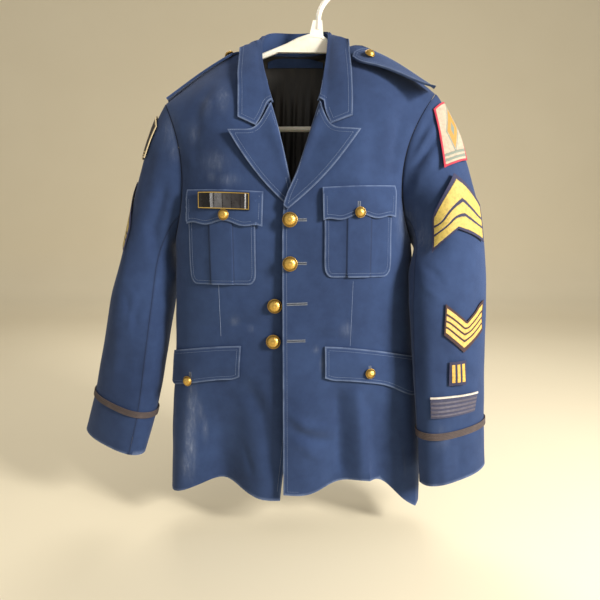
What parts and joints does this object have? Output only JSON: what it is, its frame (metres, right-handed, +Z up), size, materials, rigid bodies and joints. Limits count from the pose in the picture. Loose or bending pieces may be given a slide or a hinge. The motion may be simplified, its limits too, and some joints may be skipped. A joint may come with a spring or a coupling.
{
  "type": "dress uniform jacket on a hanger",
  "caption": "Dress uniform jacket with peaked lapels, patch chest pockets, shoulder straps and sleeve badges, hanging on a moulded hanger.",
  "frame": {"origin": "the inside top of the hanger's hook, where it hangs from a rail", "axes": "+Z up, -Y out of the jacket's front, +X to the wearer's left"},
  "size_m": [0.698, 0.1804, 0.8779],
  "materials": {
    "jacket_blue": "serge, matt",
    "lining_black": "satin lining",
    "braid_brown": "woven braid",
    "badge_navy": "embroidered badge",
    "badge_red": "embroidered badge",
    "plate_black": "engraved plate, bare",
    "button_brass": "gilt, satin",
    "hanger_white": "moulded, slightly glossy",
    "piping_white": "cord"
  },
  "bodies": {
    "root": {"front_left": "jacket_blue", "front_right": "jacket_blue", "back_left": "jacket_blue", "back_right": "jacket_blue", "upper_sleeve_left": "jacket_blue", "upper_sleeve_right": "jacket_blue", "under_sleeve_left": "jacket_blue", "under_sleeve_right": "jacket_blue", "collar": "jacket_blue", "lapel_left": "jacket_blue", "lapel_right": "jacket_blue", "neck_facing": "jacket_blue", "shoulder_strap_left": "jacket_blue", "shoulder_strap_right": "jacket_blue", "chest_pocket_left": "jacket_blue", "chest_pocket_right": "jacket_blue", "chest_flap_left": "jacket_blue", "chest_flap_right": "jacket_blue", "skirt_flap_left": "jacket_blue", "skirt_flap_right": "jacket_blue", "back_lining": "lining_black", "cuff_braid_left": "braid_brown", "cuff_braid_right": "braid_brown", "shoulder_patch_left": "badge_red", "shoulder_patch_right": "badge_navy", "arm_chevron_left": "badge_navy", "arm_chevron_right": "badge_navy", "service_chevron_left": "badge_navy", "service_bars_left": "badge_navy", "cuff_band_left": "badge_navy", "band_piping_left": "piping_white", "name_plate": "plate_black", "front_button_1": "button_brass", "front_button_2": "button_brass", "front_button_3": "button_brass", "front_button_4": "button_brass", "chest_button_left": "button_brass", "chest_button_right": "button_brass", "skirt_button_left": "button_brass", "skirt_button_right": "button_brass", "strap_button_left": "button_brass", "strap_button_right": "button_brass", "hanger": "hanger_white"}
  },
  "joints": []
}
